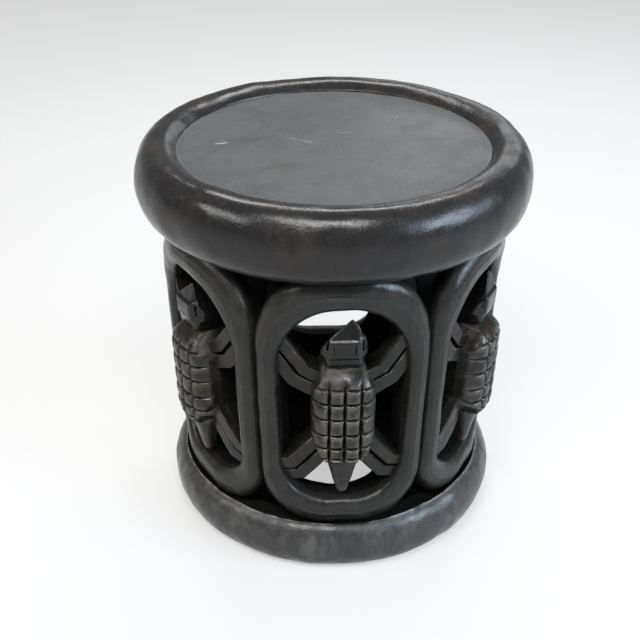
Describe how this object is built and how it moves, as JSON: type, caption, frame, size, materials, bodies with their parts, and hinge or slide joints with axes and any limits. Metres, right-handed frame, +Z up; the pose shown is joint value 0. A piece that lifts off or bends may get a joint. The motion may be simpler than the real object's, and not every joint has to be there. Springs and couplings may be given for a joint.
{
  "type": "carved figural stool",
  "caption": "Round carved wooden stool: a dished seat on a pierced drum of oval frames, each holding a turtle in relief, over a bulged ring base.",
  "frame": {"origin": "centre of the base's underside, on the floor", "axes": "+Z up along the drum's axis; frame 1 and its turtle face -Y; +X to the right as seen from in front"},
  "size_m": [0.4, 0.4, 0.416],
  "materials": {
    "rim_wood": "satin waxed, ebonised",
    "dish_wood": "dull rubbed, ebonised",
    "base_wood": "worn satin, ebonised",
    "frame_wood": "satin waxed, ebonised",
    "shell_wood": "satin waxed, rubbed brown",
    "head_wood": "polished, ebonised",
    "tail_wood": "satin, worn brown",
    "leg_wood": "satin waxed, ebonised"
  },
  "bodies": {
    "root": {"seat_rim": "rim_wood", "seat_dish": "dish_wood", "base_ring": "base_wood", "base_floor": "base_wood", "oval_frame_1": "frame_wood", "oval_frame_2": "frame_wood", "oval_frame_3": "frame_wood", "oval_frame_4": "frame_wood", "oval_frame_5": "frame_wood", "oval_frame_6": "frame_wood", "turtle_shell_1": "shell_wood", "turtle_shell_2": "shell_wood", "turtle_shell_3": "shell_wood", "turtle_shell_4": "shell_wood", "turtle_shell_5": "shell_wood", "turtle_shell_6": "shell_wood", "turtle_head_1": "head_wood", "turtle_head_2": "head_wood", "turtle_head_3": "head_wood", "turtle_head_4": "head_wood", "turtle_head_5": "head_wood", "turtle_head_6": "head_wood", "turtle_tail_1": "tail_wood", "turtle_tail_2": "tail_wood", "turtle_tail_3": "tail_wood", "turtle_tail_4": "tail_wood", "turtle_tail_5": "tail_wood", "turtle_tail_6": "tail_wood", "left_foreleg_1": "leg_wood", "left_foreleg_2": "leg_wood", "left_foreleg_3": "leg_wood", "left_foreleg_4": "leg_wood", "left_foreleg_5": "leg_wood", "left_foreleg_6": "leg_wood", "right_foreleg_1": "leg_wood", "right_foreleg_2": "leg_wood", "right_foreleg_3": "leg_wood", "right_foreleg_4": "leg_wood", "right_foreleg_5": "leg_wood", "right_foreleg_6": "leg_wood", "left_hindleg_1": "leg_wood", "left_hindleg_2": "leg_wood", "left_hindleg_3": "leg_wood", "left_hindleg_4": "leg_wood", "left_hindleg_5": "leg_wood", "left_hindleg_6": "leg_wood", "right_hindleg_1": "leg_wood", "right_hindleg_2": "leg_wood", "right_hindleg_3": "leg_wood", "right_hindleg_4": "leg_wood", "right_hindleg_5": "leg_wood", "right_hindleg_6": "leg_wood"}
  },
  "joints": []
}
